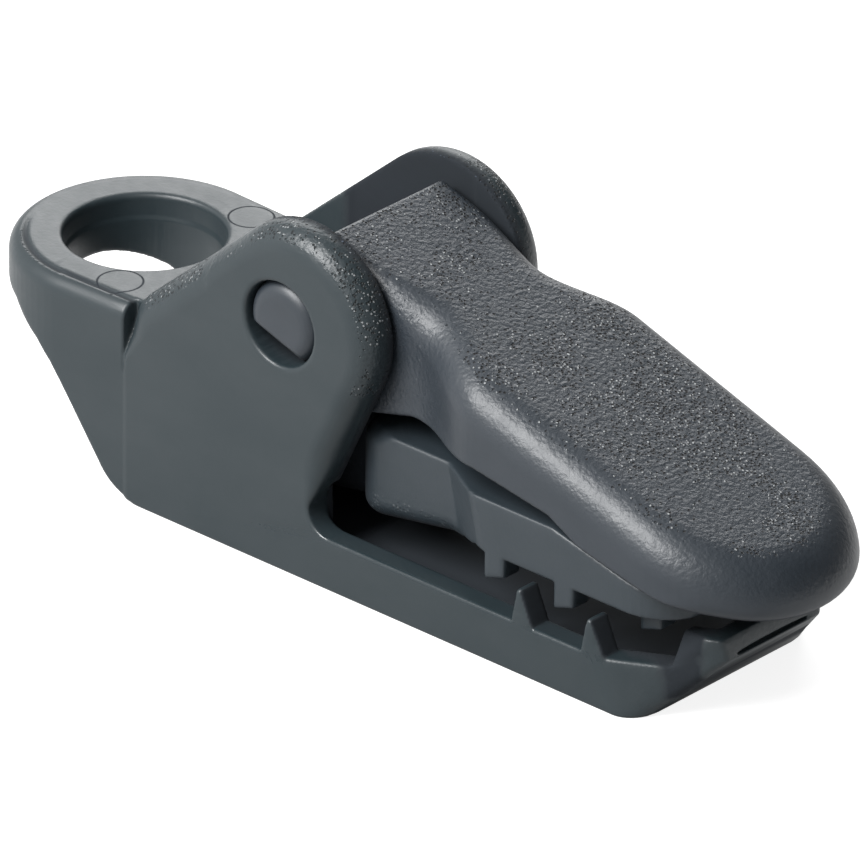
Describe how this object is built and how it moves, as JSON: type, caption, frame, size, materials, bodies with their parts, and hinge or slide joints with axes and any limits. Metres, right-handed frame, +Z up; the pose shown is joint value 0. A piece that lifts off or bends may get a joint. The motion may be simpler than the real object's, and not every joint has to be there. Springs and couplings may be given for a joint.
{
  "type": "tarp clip",
  "caption": "Lever clamp that grips the edge of a tarpaulin between a toothed lower jaw and a pegged clamp jaw, with an eye at its rear end for a cord.",
  "frame": {"origin": "on the flat underside, right below the axis of the lever's pivot, on the middle plane between the two ears", "axes": "+X from the eye to the nose, +Y across to the far side, +Z up from the flat underside"},
  "size_m": [0.0857, 0.0224, 0.0311],
  "materials": {
    "base_plastic": "satin moulded charcoal plastic, fine texture on the rounded edges",
    "lever_plastic": "moulded charcoal plastic with a leather-like texture on top and smooth sides",
    "jaw_plastic": "satin moulded charcoal plastic"
  },
  "bodies": {
    "base": {"base": "base_plastic"},
    "lever": {"lever": "lever_plastic"},
    "clamp_jaw": {"clamp_jaw": "jaw_plastic"}
  },
  "joints": [
    {"name": "lever_hinge", "type": "hinge", "parent": "base", "child": "lever", "pos_m": [0, 0, 0.0224], "axis": [0, -1, 0], "range_deg": [0, 110]},
    {"name": "jaw_hinge", "type": "hinge", "parent": "base", "child": "clamp_jaw", "pos_m": [-0.005, 0, 0.0075], "axis": [0, -1, 0], "range_deg": [0, 16.5]}
  ],
  "couplings": [
    {"joint": "jaw_hinge", "follows": "lever_hinge", "ratio": 0.15}
  ]
}
